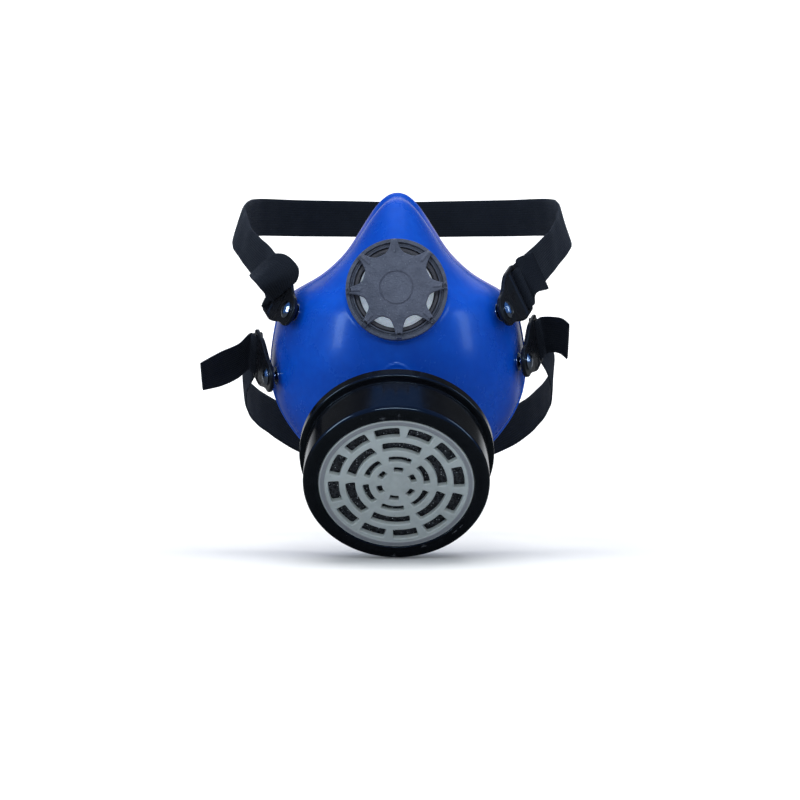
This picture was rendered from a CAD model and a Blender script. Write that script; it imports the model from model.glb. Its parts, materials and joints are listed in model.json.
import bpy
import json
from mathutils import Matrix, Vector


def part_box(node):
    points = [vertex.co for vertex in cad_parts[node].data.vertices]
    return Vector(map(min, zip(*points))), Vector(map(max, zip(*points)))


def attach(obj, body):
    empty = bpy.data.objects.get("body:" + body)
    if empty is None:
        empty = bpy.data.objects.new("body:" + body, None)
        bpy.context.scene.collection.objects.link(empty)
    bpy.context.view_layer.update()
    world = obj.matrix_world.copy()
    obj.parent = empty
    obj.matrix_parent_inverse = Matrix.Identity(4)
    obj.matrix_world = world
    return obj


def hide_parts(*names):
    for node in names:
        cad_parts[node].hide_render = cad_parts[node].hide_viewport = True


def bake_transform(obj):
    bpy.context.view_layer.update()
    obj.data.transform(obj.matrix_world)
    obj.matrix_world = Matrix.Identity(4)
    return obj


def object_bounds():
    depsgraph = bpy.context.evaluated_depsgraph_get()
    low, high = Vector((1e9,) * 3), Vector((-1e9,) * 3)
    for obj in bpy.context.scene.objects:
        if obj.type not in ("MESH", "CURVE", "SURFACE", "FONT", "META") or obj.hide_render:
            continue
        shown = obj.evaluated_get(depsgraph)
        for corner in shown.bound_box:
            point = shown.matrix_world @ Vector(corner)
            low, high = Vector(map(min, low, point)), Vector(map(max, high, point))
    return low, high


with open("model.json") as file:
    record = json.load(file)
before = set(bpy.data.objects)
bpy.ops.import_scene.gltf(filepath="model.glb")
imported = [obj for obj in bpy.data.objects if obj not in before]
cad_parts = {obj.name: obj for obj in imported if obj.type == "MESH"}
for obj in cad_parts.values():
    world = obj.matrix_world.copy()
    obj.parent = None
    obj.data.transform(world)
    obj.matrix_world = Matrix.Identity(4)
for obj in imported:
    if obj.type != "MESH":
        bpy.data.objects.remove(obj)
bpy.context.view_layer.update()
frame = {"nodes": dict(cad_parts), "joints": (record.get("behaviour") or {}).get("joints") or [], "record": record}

import bpy
import json
import numpy as np
from math import sin, cos, pi, radians, atan2, hypot
from mathutils import Vector

# All modelling numbers are millimetres in the row frame; meshes are written in metres.
MM = 0.001
JOINTS = {j["name"]: j for j in frame["joints"]}
BODY_OF = {n: b for b, ns in frame["record"]["behaviour"]["bodies"].items() for n in ns}


def unit(v):
    v = np.array(v, float)
    return v / np.linalg.norm(v)


def sm(x):
    x = np.clip(x, 0, 1)
    return x * x * (3 - 2 * x)


def smin(a, b, k):
    h = np.clip(0.5 + 0.5 * (b - a) / k, 0, 1)
    return b * (1 - h) + a * h - k * h * (1 - h)


def smax(a, b, k):
    return -smin(-a, -b, k)


# ------------------------------------------------------------------ frames taken from the pack
CAN_AXIS = unit(JOINTS["canister_unscrew"]["axis"])
CAN_C = np.array(JOINTS["canister_unscrew"]["pos_m"], float) / MM
VAXIS = unit(JOINTS["valve_cover_snap"]["axis"])
_lo, _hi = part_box("exhalation_valve_seat")
_m = np.array((_lo + _hi) / 2) / MM
# the seat runs from 6 mm behind the boss face to 3.2 mm in front of it
VALVE_C = _m + VAXIS * 1.4
VALVE_C = VALVE_C * np.array([0, 1, 1.0])
VALVE_C = np.array([0.0, -58.5, 12.5]) if np.linalg.norm(VALVE_C - [0, -58.5, 12.5]) < 1.5 else VALVE_C


class Basis:
    """A local frame: x and y in the plane, q along the axis."""

    def __init__(self, o, z, x):
        self.o = np.array(o, float)
        self.z = unit(z)
        x = np.array(x, float)
        self.x = unit(x - self.z * (x @ self.z))
        self.y = np.cross(self.z, self.x)
        self.m = np.stack([self.x, self.y, self.z])

    def world(self, p):
        return self.o + np.asarray(p, float) @ self.m

    def turn(self, v):
        return np.asarray(v, float) @ self.m

    def local(self, p):
        return (np.asarray(p, float) - self.o) @ self.m.T


VP = Basis(VALVE_C, VAXIS, (1, 0, 0))
CP = Basis(CAN_C, CAN_AXIS, (1, 0, 0))
TABS = ["upper_left", "upper_right", "lower_left", "lower_right"]
STUD = {}
for _t in TABS:
    _j = JOINTS["tab_swivel_" + _t]
    _p, _n = np.array(_j["pos_m"], float) / MM, unit(_j["axis"])
    _up = unit(np.array([0, 0, 1.0]) - _n[2] * _n)
    _back = np.cross(_up, _n) if _p[0] > 0 else np.cross(_n, _up)
    _b = radians(61.7)
    STUD[_t] = Basis(_p, _n, cos(_b) * _up + sin(_b) * _back)


# ------------------------------------------------------------------ mesh helpers
def make_mesh(name, verts, polys, normals=None, mat=None, body=None, slot=None, replaces=(), smooth=True, attrs=None, uv=None):
    """verts in mm, polys a list of integer arrays (n x 3 or n x 4)."""
    me = bpy.data.meshes.new(name)
    v = np.asarray(verts, float) * MM
    me.vertices.add(len(v))
    me.vertices.foreach_set("co", v.astype(np.float32).ravel())
    loops = np.concatenate([np.asarray(p, np.int32).ravel() for p in polys])
    starts, off = [], 0
    for p in polys:
        p = np.asarray(p)
        starts.append(off + np.arange(len(p)) * p.shape[1])
        off += p.size
    starts = np.concatenate(starts).astype(np.int32)
    me.loops.add(len(loops))
    me.loops.foreach_set("vertex_index", loops)
    me.polygons.add(len(starts))
    me.polygons.foreach_set("loop_start", starts)
    me.update(calc_edges=True)
    me.polygons.foreach_set("use_smooth", np.full(len(starts), smooth, bool))
    if attrs:
        for k, a in attrs.items():
            at = me.attributes.new(k, "FLOAT", "POINT")
            at.data.foreach_set("value", np.asarray(a, np.float32))
    if uv is not None:
        layer = me.uv_layers.new(name="UVMap")
        layer.data.foreach_set("uv", np.asarray(uv, np.float32)[loops].ravel())
    me.validate()
    if normals is not None:
        me.normals_split_custom_set_from_vertices(np.asarray(normals, np.float32).tolist())
    me.update()
    ob = bpy.data.objects.new(name, me)
    bpy.context.scene.collection.objects.link(ob)
    if mat:
        me.materials.append(mat)
    if replaces:
        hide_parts(*replaces)
    if body:
        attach(ob, body)
    return ob


def grid_polys(nu, nv, wrap_u=False, wrap_v=False, base=0):
    iu = np.arange(nu if wrap_u else nu - 1)
    iv = np.arange(nv if wrap_v else nv - 1)
    a, b = np.meshgrid(iu, iv, indexing="ij")
    a2, b2 = (a + 1) % nu, (b + 1) % nv
    return (base + np.stack([a * nv + b, a2 * nv + b, a2 * nv + b2, a * nv + b2], -1)).reshape(-1, 4)


def rounded(poly, closed=True, seg=6):
    """Corners (r, q, radius) to a smooth profile with exact normals; runs counter-clockwise seen with r right, q up."""
    P = [np.array(p[:2], float) for p in poly]
    R = [p[2] for p in poly]
    n = len(P)
    pts, nrm = [], []
    for i in range(n):
        if not closed and i in (0, n - 1):
            d = unit(P[1] - P[0]) if i == 0 else unit(P[-1] - P[-2])
            pts.append(P[i])
            nrm.append(np.array([d[1], -d[0]]))
            continue
        a, b, c = P[i - 1], P[i], P[(i + 1) % n]
        d1, d2 = unit(b - a), unit(c - b)
        cr = d1[0] * d2[1] - d1[1] * d2[0]
        ang = atan2(cr, float(d1 @ d2))
        if abs(ang) < 1e-3:
            pts.append(b)
            nrm.append(np.array([d1[1], -d1[0]]))
            continue
        L = min(R[i] * abs(np.tan(ang / 2)), 0.49 * np.linalg.norm(b - a), 0.49 * np.linalg.norm(c - b))
        rad = L / abs(np.tan(ang / 2))
        s = b - d1 * L
        side = np.array([-d1[1], d1[0]]) * np.sign(ang)
        cen = s + side * rad
        m = max(2, int(seg * abs(ang) / (pi / 2)) + 1)
        for k in range(m + 1):
            t = ang * k / m
            rot = np.array([[cos(t), -sin(t)], [sin(t), cos(t)]])
            pts.append(cen + rot @ (s - cen))
            d = rot @ d1
            nrm.append(np.array([d[1], -d[0]]))
    return np.array(pts), np.array(nrm)


def densify(pts, nrm, step, closed):
    op, on = [], []
    n = len(pts)
    for i in range(n if closed else n - 1):
        a, b = pts[i], pts[(i + 1) % n]
        m = max(1, int(np.linalg.norm(b - a) / step))
        for k in range(m):
            t = k / m
            op.append(a * (1 - t) + b * t)
            on.append(unit(nrm[i] * (1 - t) + nrm[(i + 1) % n] * t))
    if not closed:
        op.append(pts[-1])
        on.append(nrm[-1])
    return np.array(op), np.array(on)


def lathe_arrays(basis, poly, closed=True, n=144, seg=6, step=None, centre=(0, 0)):
    pts, nrm = rounded(poly, closed, seg)
    if step:
        pts, nrm = densify(pts, nrm, step, closed)
    m = len(pts)
    th = 2 * pi * np.arange(n) / n
    r, q = pts[:, 0], pts[:, 1]
    V = np.stack([np.outer(np.cos(th), r) + centre[0], np.outer(np.sin(th), r) + centre[1], np.tile(q, (n, 1))], -1).reshape(-1, 3)
    N = np.stack([np.outer(np.cos(th), nrm[:, 0]), np.outer(np.sin(th), nrm[:, 0]), np.tile(nrm[:, 1], (n, 1))], -1).reshape(-1, 3)
    F = grid_polys(n, m, True, closed)
    F = F[:, ::-1]
    tri = None
    if not closed:
        # the end points sit on the axis: collapse them
        keep_q, tris = [], []
        ends = []
        for col in (0, m - 1):
            if r[col] < 1e-6:
                ends.append(col)
        mask = np.ones(len(F), bool)
        extra_v, extra_n = [], []
        for col in ends:
            nb = 1 if col == 0 else m - 2
            idx = len(V) + len(extra_v)
            extra_v.append([centre[0], centre[1], q[col]])
            extra_n.append([0, 0, nrm[col, 1] / abs(nrm[col, 1])])
            ring = np.arange(n) * m + nb
            ring2 = np.roll(ring, -1)
            tris.append(np.stack([ring, ring2, np.full(n, idx)], -1) if col != 0 else np.stack([ring2, ring, np.full(n, idx)], -1))
            mask &= ~np.any((F % m == col) & (F < len(V)), axis=1)
        F = F[mask]
        V = np.concatenate([V, np.array(extra_v)])
        N = np.concatenate([N, np.array(extra_n)])
        tri = np.concatenate(tris)
    # faces follow the normals
    polys = [orient(V, F, N)]
    if tri is not None:
        polys.append(orient(V, tri, N))
    # drop unused vertices
    used = np.zeros(len(V), bool)
    for p in polys:
        used[p.ravel()] = True
    new = np.cumsum(used) - 1
    polys = [new[p] for p in polys]
    return basis.world(V[used]), polys, basis.turn(N[used])


def orient(V, F, N):
    a, b, c = V[F[:, 0]], V[F[:, 1]], V[F[:, 2]]
    g = np.cross(b - a, c - a)
    s = np.einsum("ij,ij->i", g, N[F].mean(1))
    F = F.copy()
    F[s < 0] = F[s < 0][:, ::-1]
    return F


def join_arrays(parts):
    V, N, polys, off = [], [], [], 0
    for v, p, n in parts:
        V.append(v)
        N.append(n)
        polys += [np.asarray(q) + off for q in p]
        off += len(v)
    return np.concatenate(V), polys, np.concatenate(N)


def lathe(name, basis, poly, closed=True, n=144, seg=6, step=None, **kw):
    v, p, nn = lathe_arrays(basis, poly, closed, n, seg, step)
    return make_mesh(name, v, p, normals=nn, **kw)


# ------------------------------------------------------------------ distance-field modelling
def surface_nets(F, org, h):
    s = F < 0
    nx, ny, nz = F.shape
    c = [(i, j, k) for i in (0, 1) for j in (0, 1) for k in (0, 1)]

    def sub(A, o):
        return A[o[0]:nx - 1 + o[0], o[1]:ny - 1 + o[1], o[2]:nz - 1 + o[2]]
    cnt = sum(sub(s, o).astype(np.int8) for o in c)
    act = (cnt > 0) & (cnt < 8)
    ids = np.full(act.shape, -1, np.int64)
    I, J, K = np.nonzero(act)
    ids[I, J, K] = np.arange(len(I))
    acc = np.zeros((len(I), 3))
    num = np.zeros(len(I))
    for ax in range(3):
        for o in c:
            if o[ax] == 1:
                continue
            o2 = list(o)
            o2[ax] = 1
            fa = F[I + o[0], J + o[1], K + o[2]]
            fb = F[I + o2[0], J + o2[1], K + o2[2]]
            cr = (fa < 0) != (fb < 0)
            t = np.where(cr, fa / np.where(cr, fa - fb, 1), 0)
            p = np.tile(np.array(o, float), (len(I), 1))
            p[:, ax] += t
            acc += p * cr[:, None]
            num += cr
    V = org + h * (np.stack([I, J, K], -1) + acc / num[:, None])
    quads = []
    for ax in range(3):
        a1, a2 = (ax + 1) % 3, (ax + 2) % 3
        sl0 = [slice(1, -1)] * 3
        sl1 = [slice(1, -1)] * 3
        sl0[ax] = slice(0, -1)
        sl1[ax] = slice(1, None)
        A, B = s[tuple(sl0)], s[tuple(sl1)]
        flip = np.nonzero(A != B)
        idx = np.stack(flip, -1)
        idx[:, a1] += 1
        idx[:, a2] += 1
        sign = A[flip]
        q = []
        for d1, d2 in ((0, 0), (-1, 0), (-1, -1), (0, -1)):
            k = idx.copy()
            k[:, a1] += d1
            k[:, a2] += d2
            q.append(ids[k[:, 0], k[:, 1], k[:, 2]])
        q = np.stack(q, -1)
        q[~sign] = q[~sign][:, ::-1]
        quads.append(q)
    Q = np.concatenate(quads)
    return V, Q[(Q >= 0).all(1)]


def grad(f, p, e):
    g = np.zeros_like(p)
    for a in range(3):
        d = np.zeros(3)
        d[a] = e
        g[:, a] = (f(p + d) - f(p - d)) / (2 * e)
    return g


def field_mesh(f, lo, hi, h, iters=3, e=0.04):
    lo, hi = np.array(lo, float), np.array(hi, float)
    n = np.ceil((hi - lo) / h).astype(int) + 1
    ax = [lo[i] + h * np.arange(n[i]) for i in range(3)]
    F = np.empty(tuple(n), np.float32)
    for i0 in range(0, n[0], 16):
        X, Y, Z = np.meshgrid(ax[0][i0:i0 + 16], ax[1], ax[2], indexing="ij")
        F[i0:i0 + 16] = f(np.stack([X.ravel(), Y.ravel(), Z.ravel()], -1)).reshape(X.shape)
    V, Q = surface_nets(F.astype(float), lo, h)
    for _ in range(iters):
        g = grad(f, V, e)
        d = f(V)
        g2 = np.maximum((g ** 2).sum(1), 0.04)
        step = -(d / g2)[:, None] * g
        L = np.linalg.norm(step, axis=1)
        step *= np.minimum(1, 0.45 * h / np.maximum(L, 1e-9))[:, None]
        V = V + step
    g = grad(f, V, e)
    N = g / np.maximum(np.linalg.norm(g, axis=1), 1e-9)[:, None]
    return V, orient(V, Q, N), N


def poly_field(pts, lo, hi, step=0.1):
    """Signed distance to a closed polygon, tabulated; returns a sampler."""
    pts = np.array(pts, float)
    nx, ny = int((hi[0] - lo[0]) / step) + 1, int((hi[1] - lo[1]) / step) + 1
    X, Y = np.meshgrid(lo[0] + step * np.arange(nx), lo[1] + step * np.arange(ny), indexing="ij")
    p = np.stack([X.ravel(), Y.ravel()], -1)
    D = np.full(len(p), 1e9)
    inside = np.zeros(len(p), bool)
    for i in range(len(pts)):
        a, b = pts[i], pts[(i + 1) % len(pts)]
        ab = b - a
        t = np.clip(((p - a) @ ab) / max(ab @ ab, 1e-12), 0, 1)
        D = np.minimum(D, np.hypot(*(p - a - t[:, None] * ab).T))
        cond = (a[1] > p[:, 1]) != (b[1] > p[:, 1])
        with np.errstate(divide="ignore", invalid="ignore"):
            xx = (b[0] - a[0]) * (p[:, 1] - a[1]) / (b[1] - a[1]) + a[0]
        inside ^= cond & (p[:, 0] < xx)
    T = np.where(inside, -D, D).reshape(nx, ny)

    def f(x, y):
        u = np.clip((x - lo[0]) / step, 0, nx - 1.001)
        v = np.clip((y - lo[1]) / step, 0, ny - 1.001)
        i, j = u.astype(int), v.astype(int)
        u, v = u - i, v - j
        return (T[i, j] * (1 - u) + T[i + 1, j] * u) * (1 - v) + (T[i, j + 1] * (1 - u) + T[i + 1, j + 1] * u) * v
    return f


# ------------------------------------------------------------------ materials
def nt_new(name):
    m = bpy.data.materials.new(name)
    m.use_nodes = True
    t = m.node_tree
    return m, t, t.nodes["Principled BSDF"]


class NB:
    def __init__(self, t):
        self.t = t

    def n(self, kind, **props):
        x = self.t.nodes.new(kind)
        for k, v in props.items():
            setattr(x, k, v)
        return x

    def put(self, sock, v):
        if hasattr(v, "is_output") or hasattr(v, "links"):
            self.t.links.new(v, sock)
        else:
            sock.default_value = v

    def math(self, op, a, b=None, c=None, clamp=False):
        x = self.n("ShaderNodeMath", operation=op, use_clamp=clamp)
        self.put(x.inputs[0], a)
        if b is not None:
            self.put(x.inputs[1], b)
        if c is not None:
            self.put(x.inputs[2], c)
        return x.outputs[0]

    def noise(self, vec, scale, detail=3.0, rough=0.55, dist=0.0):
        x = self.n("ShaderNodeTexNoise")
        self.t.links.new(vec, x.inputs["Vector"])
        x.inputs["Scale"].default_value = scale
        x.inputs["Detail"].default_value = detail
        x.inputs["Roughness"].default_value = rough
        x.inputs["Distortion"].default_value = dist
        return x.outputs["Fac"]

    def voronoi(self, vec, scale, feature="F1", out="Distance"):
        x = self.n("ShaderNodeTexVoronoi", feature=feature)
        self.t.links.new(vec, x.inputs["Vector"])
        x.inputs["Scale"].default_value = scale
        return x.outputs[out]

    def rng(self, v, a, b, c, d, smooth=False):
        x = self.n("ShaderNodeMapRange")
        if smooth:
            x.interpolation_type = "SMOOTHSTEP"
        self.put(x.inputs[0], v)
        for i, k in enumerate((a, b, c, d)):
            x.inputs[i + 1].default_value = k
        return x.outputs[0]

    def mix(self, fac, a, b):
        x = self.n("ShaderNodeMix", data_type="RGBA")
        self.put(x.inputs[0], fac)
        for s, v in ((x.inputs[6], a), (x.inputs[7], b)):
            if isinstance(v, (tuple, list)):
                s.default_value = (v[0], v[1], v[2], 1)
            else:
                self.t.links.new(v, s)
        return x.outputs[2]

    def bump(self, height, strength, dist, normal=None):
        x = self.n("ShaderNodeBump")
        x.inputs["Strength"].default_value = strength
        x.inputs["Distance"].default_value = dist
        self.t.links.new(height, x.inputs["Height"])
        if normal is not None:
            self.t.links.new(normal, x.inputs["Normal"])
        return x.outputs[0]


def moulded(name, col, col2, rough=0.35, rough_v=0.12, grain=900, grain_b=0.12, wave=70, wave_b=0.0, coat=0.0,
            wear=None, wear_amt=0.0, metallic=0.0, specks=None, smudge=0.25, spec=0.5, sss=0.0, ior=1.5, grain_d=0.00012,
            tint=None, glow=None, band=None):
    """Moulded plastic, rubber or plated metal: mottled colour, uneven gloss, grain and ripple, wear on edges."""
    m, t, b = nt_new(name)
    k = NB(t)
    tc = k.n("ShaderNodeTexCoord").outputs["Object"]
    big = k.noise(tc, 38, 4, 0.6, 0.4)
    small = k.noise(tc, grain, 2, 0.5)
    mid = k.noise(tc, 240, 3, 0.6, 0.2)
    fac = k.rng(k.math("ADD", k.math("MULTIPLY", big, 0.6), k.math("MULTIPLY", mid, 0.4)), 0.36, 0.64, 0, 1, True)
    colour = k.mix(fac, col, col2)
    if specks:
        v = k.voronoi(tc, specks[0], "F1", "Distance")
        rnd = k.voronoi(tc, specks[0], "F1", "Color")
        sep = k.n("ShaderNodeSeparateColor")
        t.links.new(rnd, sep.inputs[0])
        on = k.math("GREATER_THAN", sep.outputs[0], 1 - specks[1])
        dot = k.rng(v, specks[2], specks[2] * 0.55, 0, 1, True)
        colour = k.mix(k.math("MULTIPLY", on, dot), colour, specks[3])
    if wear is not None:
        geo = k.n("ShaderNodeNewGeometry").outputs["Pointiness"]
        e = k.rng(geo, 0.53, 0.62, 0, 1, True)
        chip = k.rng(k.noise(tc, 420, 4, 0.7), 0.42, 0.62, 0, 1, True)
        colour = k.mix(k.math("MULTIPLY", k.math("MULTIPLY", e, chip), wear_amt), colour, wear)
    if band:
        at = k.n("ShaderNodeAttribute", attribute_name=band[0])
        colour = k.mix(k.math("MULTIPLY", at.outputs["Fac"], band[2]), colour, band[1])
    t.links.new(colour, b.inputs["Base Color"])
    sm1 = k.rng(k.noise(tc, 110, 5, 0.62, 1.2), 0.35, 0.72, 0, 1, True)
    sm2 = k.rng(k.noise(tc, 16, 2, 0.5), 0.3, 0.7, -1, 1)
    r = k.math("ADD", rough - rough_v * smudge, k.math("MULTIPLY", sm1, rough_v))
    r = k.math("ADD", r, k.math("MULTIPLY", sm2, rough_v * 0.35), clamp=True)
    t.links.new(r, b.inputs["Roughness"])
    b.inputs["Metallic"].default_value = metallic
    b.inputs["IOR"].default_value = ior
    b.inputs["Specular IOR Level"].default_value = spec
    if tint:
        b.inputs["Specular Tint"].default_value = (*tint, 1)
    if glow:                                             # light passing through from behind
        t.links.new(colour, b.inputs["Emission Color"])
        b.inputs["Emission Strength"].default_value = glow
    nrm = k.bump(small, grain_b, grain_d)
    if wave_b:
        nrm = k.bump(k.noise(tc, wave, 2, 0.45), wave_b, 0.0012, nrm)
    t.links.new(nrm, b.inputs["Normal"])
    if coat:
        b.inputs["Coat Weight"].default_value = coat
        b.inputs["Coat Roughness"].default_value = 0.06
        b.inputs["Coat IOR"].default_value = 1.5
        if wave_b:
            t.links.new(k.bump(k.noise(tc, wave * 1.3, 2, 0.4), wave_b * 0.6, 0.001), b.inputs["Coat Normal"])
    if sss:
        b.inputs["Subsurface Weight"].default_value = sss
        b.inputs["Subsurface Radius"].default_value = (0.2, 0.4, 1.0)
        b.inputs["Subsurface Scale"].default_value = 0.002
    return m


def vinyl():
    """Glossy blue moulded vinyl: slow mottling, a paler milky rim, orange peel, light handling smudges."""
    m, t, b = nt_new("blue_vinyl")
    k = NB(t)
    tc = k.n("ShaderNodeTexCoord").outputs["Object"]
    big = k.rng(k.noise(tc, 22, 3, 0.55, 0.6), 0.3, 0.72, 0, 1, True)
    c = k.mix(big, (0.0012, 0.064, 0.50), (0.0020, 0.086, 0.60))
    mot = k.rng(k.noise(tc, 260, 3, 0.6), 0.35, 0.7, 0, 0.35, True)
    c = k.mix(mot, c, (0.0010, 0.050, 0.43))
    at = k.n("ShaderNodeAttribute", attribute_name="rim")
    rim = k.math("MULTIPLY", at.outputs["Fac"], k.rng(k.noise(tc, 90, 3, 0.6), 0.3, 0.7, 0.62, 0.95), clamp=True)
    c = k.mix(rim, c, (0.42, 0.40, 0.66))
    dust = k.voronoi(tc, 1000, "F1", "Distance")
    d2 = k.voronoi(tc, 1000, "F1", "Color")
    sep = k.n("ShaderNodeSeparateColor")
    t.links.new(d2, sep.inputs[0])
    dd = k.math("MULTIPLY", k.math("GREATER_THAN", sep.outputs[0], 0.997), k.rng(dust, 0.18, 0.05, 0, 0.14, True))
    c = k.mix(dd, c, (0.35, 0.42, 0.62))
    t.links.new(c, b.inputs["Base Color"])
    smu = k.rng(k.noise(tc, 34, 4, 0.5, 0.3), 0.4, 0.75, 0, 1, True)
    fine = k.noise(tc, 600, 3, 0.6)
    r = k.math("ADD", 0.24, k.math("MULTIPLY", smu, 0.07))
    r = k.math("ADD", r, k.math("MULTIPLY", fine, 0.04))
    t.links.new(r, b.inputs["Roughness"])
    n1 = k.bump(k.noise(tc, 520, 2, 0.5), 0.08, 0.00010)
    n2 = k.bump(k.noise(tc, 30, 1, 0.4), 0.07, 0.0016, n1)
    t.links.new(n2, b.inputs["Normal"])
    b.inputs["IOR"].default_value = 1.52
    b.inputs["Specular Tint"].default_value = (0.42, 0.72, 1.0, 1)
    b.inputs["Coat Weight"].default_value = 0.12
    b.inputs["Coat Roughness"].default_value = 0.10
    n3 = k.bump(k.noise(tc, 36, 1, 0.4), 0.05, 0.0012)
    t.links.new(n3, b.inputs["Coat Normal"])
    b.inputs["Subsurface Weight"].default_value = 0.08
    b.inputs["Subsurface Radius"].default_value = (0.1, 0.3, 1.0)
    b.inputs["Subsurface Scale"].default_value = 0.003
    return m


def webbing_mat():
    """Black ribbed elastic webbing: lengthwise cords bound by fine cross picks, lint, a slight sheen."""
    m, t, b = nt_new("ribbed_elastic")
    k = NB(t)
    uv = k.n("ShaderNodeUVMap", uv_map="UVMap").outputs[0]
    sep = k.n("ShaderNodeSeparateXYZ")
    t.links.new(uv, sep.inputs[0])
    u, s = sep.outputs[0], sep.outputs[1]            # both in millimetres
    rib = k.math("FLOOR", k.math("DIVIDE", u, 1.25))
    ph = k.math("MULTIPLY", rib, pi)
    tc = k.n("ShaderNodeTexCoord").outputs["Object"]
    wob = k.math("MULTIPLY", k.noise(tc, 300, 2, 0.5), 1.6)
    pick = k.math("SINE", k.math("ADD", k.math("ADD", k.math("MULTIPLY", s, 2 * pi / 0.95), ph), wob))
    cord = k.math("COSINE", k.math("MULTIPLY", u, 2 * pi / 1.25))
    yarn = k.math("SINE", k.math("ADD", k.math("MULTIPLY", u, 2 * pi / 0.31), k.math("MULTIPLY", s, 2 * pi / 0.8)))
    h = k.math("ADD", k.math("MULTIPLY", pick, 0.5), k.math("MULTIPLY", cord, 0.35))
    h = k.math("ADD", h, k.math("MULTIPLY", yarn, 0.18))
    h = k.math("ADD", h, k.math("MULTIPLY", k.noise(tc, 2600, 2, 0.6), 0.5))
    base = k.mix(k.rng(k.noise(tc, 60, 4, 0.6), 0.3, 0.7, 0, 1, True), (0.0034, 0.0040, 0.0062), (0.0064, 0.0074, 0.0108))
    lit = k.rng(h, -0.6, 1.2, 0, 1, True)
    base = k.mix(k.math("MULTIPLY", lit, 0.55), base, (0.011, 0.014, 0.023))
    lint = k.rng(k.noise(tc, 1500, 6, 0.8, 2.0), 0.66, 0.78, 0, 0.55, True)
    base = k.mix(lint, base, (0.045, 0.050, 0.064))
    at = k.n("ShaderNodeAttribute", attribute_name="cut_end")
    base = k.mix(k.math("MULTIPLY", at.outputs["Fac"], 0.7), base, (0.004, 0.004, 0.005))
    t.links.new(base, b.inputs["Base Color"])
    r = k.math("ADD", 0.62, k.math("MULTIPLY", k.noise(tc, 180, 3, 0.6), 0.22))
    t.links.new(r, b.inputs["Roughness"])
    b.inputs["Specular IOR Level"].default_value = 0.30
    b.inputs["Specular Tint"].default_value = (0.70, 0.84, 1.0, 1)
    b.inputs["Sheen Weight"].default_value = 0.10
    b.inputs["Sheen Roughness"].default_value = 0.45
    b.inputs["Sheen Tint"].default_value = (0.55, 0.65, 0.85, 1)
    t.links.new(k.bump(h, 0.55, 0.00016), b.inputs["Normal"])
    return m


def pad_mat(name, dark, light, scale, amount, bright):
    """Granular or open-cell pad with light specks."""
    m, t, b = nt_new(name)
    k = NB(t)
    tc = k.n("ShaderNodeTexCoord").outputs["Object"]
    v = k.voronoi(tc, scale, "F1", "Distance")
    rnd = k.voronoi(tc, scale, "F1", "Color")
    sep = k.n("ShaderNodeSeparateColor")
    t.links.new(rnd, sep.inputs[0])
    base = k.mix(sep.outputs[1], dark, light)
    on = k.math("GREATER_THAN", sep.outputs[0], 1 - amount)
    dot = k.rng(v, 0.36, 0.12, 0, 1, True)
    base = k.mix(k.math("MULTIPLY", on, dot), base, bright)
    pits = k.rng(k.voronoi(tc, scale * 0.6, "DISTANCE_TO_EDGE", "Distance"), 0.0, 0.12, 0.35, 1, True)
    mul = k.n("ShaderNodeMix", data_type="RGBA", blend_type="MULTIPLY")
    mul.inputs[0].default_value = 1
    t.links.new(base, mul.inputs[6])
    t.links.new(pits, mul.inputs[7])
    t.links.new(mul.outputs[2], b.inputs["Base Color"])
    rr = k.rng(sep.outputs[2], 0, 1, 0.35, 0.85)
    t.links.new(rr, b.inputs["Roughness"])
    n1 = k.bump(v, 0.9, 0.0005)
    n2 = k.bump(k.noise(tc, 3200, 3, 0.6), 0.4, 0.0002, n1)
    t.links.new(n2, b.inputs["Normal"])
    return m


def chrome():
    m, t, b = nt_new("plated_chrome")
    k = NB(t)
    tc = k.n("ShaderNodeTexCoord").outputs["Object"]
    c = k.mix(k.rng(k.noise(tc, 240, 4, 0.6), 0.3, 0.7, 0, 1, True), (0.46, 0.56, 0.70), (0.62, 0.72, 0.86))
    spots = k.rng(k.noise(tc, 1300, 5, 0.75), 0.60, 0.74, 0, 0.7, True)
    c = k.mix(spots, c, (0.20, 0.21, 0.23))
    t.links.new(c, b.inputs["Base Color"])
    b.inputs["Metallic"].default_value = 1.0
    r = k.math("ADD", 0.07, k.math("MULTIPLY", k.rng(k.noise(tc, 500, 5, 0.7, 1.0), 0.35, 0.75, 0, 1), 0.16))
    t.links.new(r, b.inputs["Roughness"])
    sc = k.n("ShaderNodeTexNoise")
    mp = k.n("ShaderNodeMapping")
    mp.inputs["Scale"].default_value = (1, 1, 9)
    t.links.new(tc, mp.inputs["Vector"])
    t.links.new(mp.outputs[0], sc.inputs["Vector"])
    sc.inputs["Scale"].default_value = 900
    t.links.new(k.bump(sc.outputs["Fac"], 0.06, 0.0001), b.inputs["Normal"])
    return m


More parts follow.
